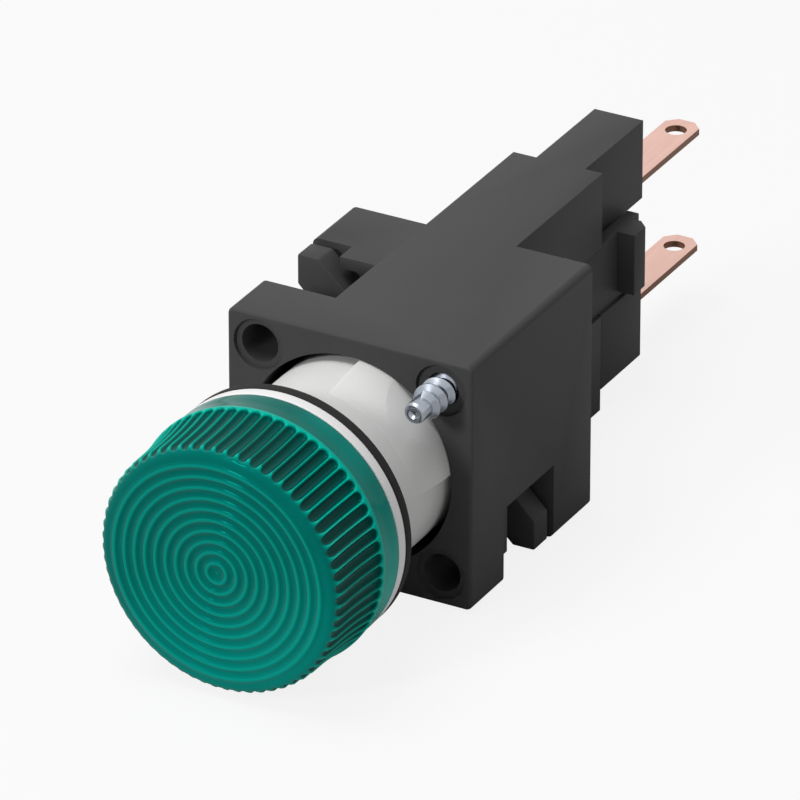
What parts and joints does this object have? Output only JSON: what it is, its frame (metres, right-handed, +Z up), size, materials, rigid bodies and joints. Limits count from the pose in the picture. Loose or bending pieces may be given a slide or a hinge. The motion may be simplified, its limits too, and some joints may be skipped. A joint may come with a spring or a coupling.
{
  "type": "panel pilot light",
  "caption": "Round green pilot light with a knurled, ringed lens, a barrel for a panel hole, a square holder with a lock ring and clamp screws, and a slim rear block with plug-on tabs.",
  "frame": {"origin": "on the light's axis, in the plane of the rear face of the seal ring, which is the front face of the panel", "axes": "+Z up, the lens faces -Y, the terminals point along +Y, +X is to the right seen from the lens side"},
  "size_m": [0.0194, 0.0695, 0.0194],
  "materials": {
    "green_lens": "translucent green plastic, glossy",
    "white_plastic": "matt white",
    "grey_plastic": "satin light grey",
    "black_plastic": "satin black",
    "black_rubber": "matt black rubber",
    "zinc_steel": "zinc plated steel",
    "copper": "bare copper alloy, satin",
    "clear_glass": "clear glass",
    "lamp_wire": "thin bright wire"
  },
  "bodies": {
    "light_body": {"barrel": "grey_plastic", "seal_ring": "black_rubber", "lens_seal": "black_rubber", "reflector": "white_plastic", "housing": "black_plastic", "terminal_insert": "black_plastic", "tab_upper": "copper", "tab_lower": "copper", "contact_upper": "copper", "contact_lower": "copper", "lamp_socket": "white_plastic", "lamp_glass": "clear_glass", "lamp_filament": "lamp_wire", "lamp_lead_upper": "lamp_wire", "lamp_lead_lower": "lamp_wire"},
    "lens_slider": {"diffuser": "white_plastic"},
    "lens": {"lens_cap": "green_lens"},
    "lock": {"lock_ring": "black_plastic"},
    "screw_upper": {"clamp_screw_upper": "zinc_steel"},
    "screw_lower": {"clamp_screw_lower": "zinc_steel"}
  },
  "joints": [
    {"name": "lens_advance", "type": "slide", "parent": "light_body", "child": "lens_slider", "axis": [0, -1, 0], "range_m": [0, 0.003]},
    {"name": "lens_turn", "type": "hinge", "parent": "lens_slider", "child": "lens", "pos_m": [0, -0.006, 0], "axis": [0, -1, 0], "range_deg": [0, 720]},
    {"name": "lock_turn", "type": "hinge", "parent": "light_body", "child": "lock", "pos_m": [0, 0.019, 0], "axis": [0, -1, 0], "range_deg": [-1.8, 8.5]},
    {"name": "screw_upper_drive", "type": "slide", "parent": "light_body", "child": "screw_upper", "axis": [0, -1, 0], "range_m": [-0.003, 0.0035]},
    {"name": "screw_lower_drive", "type": "slide", "parent": "light_body", "child": "screw_lower", "axis": [0, -1, 0], "range_m": [-0.003, 0.0035]}
  ],
  "couplings": [
    {"joint": "lens_turn", "follows": "lens_advance", "rad_per_m": 4188.8}
  ]
}
